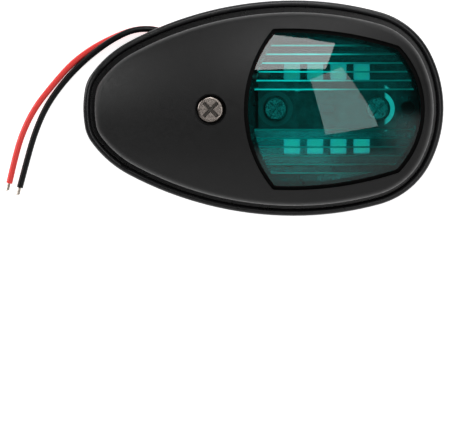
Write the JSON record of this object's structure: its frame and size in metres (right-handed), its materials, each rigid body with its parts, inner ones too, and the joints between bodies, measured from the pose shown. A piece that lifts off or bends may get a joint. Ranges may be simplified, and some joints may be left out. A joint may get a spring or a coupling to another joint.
{
  "type": "navigation light",
  "caption": "Teardrop surface-mounted boat side light with a domed black cover, a green lens, a bead-rimmed base and two free wires.",
  "frame": {"origin": "middle of the length and width, on the mounting face at the back of the gasket", "axes": "+X along the length towards the lens end, +Z out of the mounting face towards the front, +Y towards the side where the wires leave"},
  "size_m": [0.1402, 0.0688, 0.0305],
  "materials": {
    "base_black": "satin moulded ABS, black",
    "cover_black": "fine-grained matt ABS, black",
    "rubber_black": "matt black rubber",
    "lens_green": "clear green polycarbonate, polished outside",
    "stainless": "stainless steel",
    "zinc_plated": "zinc-plated steel",
    "board_white": "solder mask",
    "led_white": "white LED package",
    "led_phosphor": "clear resin over pale phosphor",
    "chip_black": "moulded epoxy",
    "solder": "bright solder",
    "wire_red": "PVC insulation",
    "wire_black": "PVC insulation",
    "tinned_copper": "tinned copper strands"
  },
  "bodies": {
    "base": {"mounting_gasket": "rubber_black", "base_plate": "base_black", "cover_seal": "rubber_black", "circuit_board": "board_white", "board_screws": "zinc_plated", "led_bodies": "led_white", "led_windows": "led_phosphor", "board_resistors": "chip_black", "polarity_diode": "chip_black", "solder_joints": "solder", "wire_grommet": "rubber_black", "red_wire": "wire_red", "black_wire": "wire_black", "red_wire_tip": "tinned_copper", "black_wire_tip": "tinned_copper", "red_lead": "wire_red", "black_lead": "wire_black"},
    "cover": {"cover": "cover_black", "lens": "lens_green", "lens_seal": "rubber_black"},
    "screw": {"cover_screw": "stainless", "screw_seal": "rubber_black"}
  },
  "joints": [
    {"name": "cover_lift", "type": "slide", "parent": "base", "child": "cover", "axis": [0, 0, 1], "range_m": [0, 0.045]},
    {"name": "screw_out", "type": "slide", "parent": "cover", "child": "screw", "axis": [0, 0, 1], "range_m": [0, 0.03]}
  ]
}
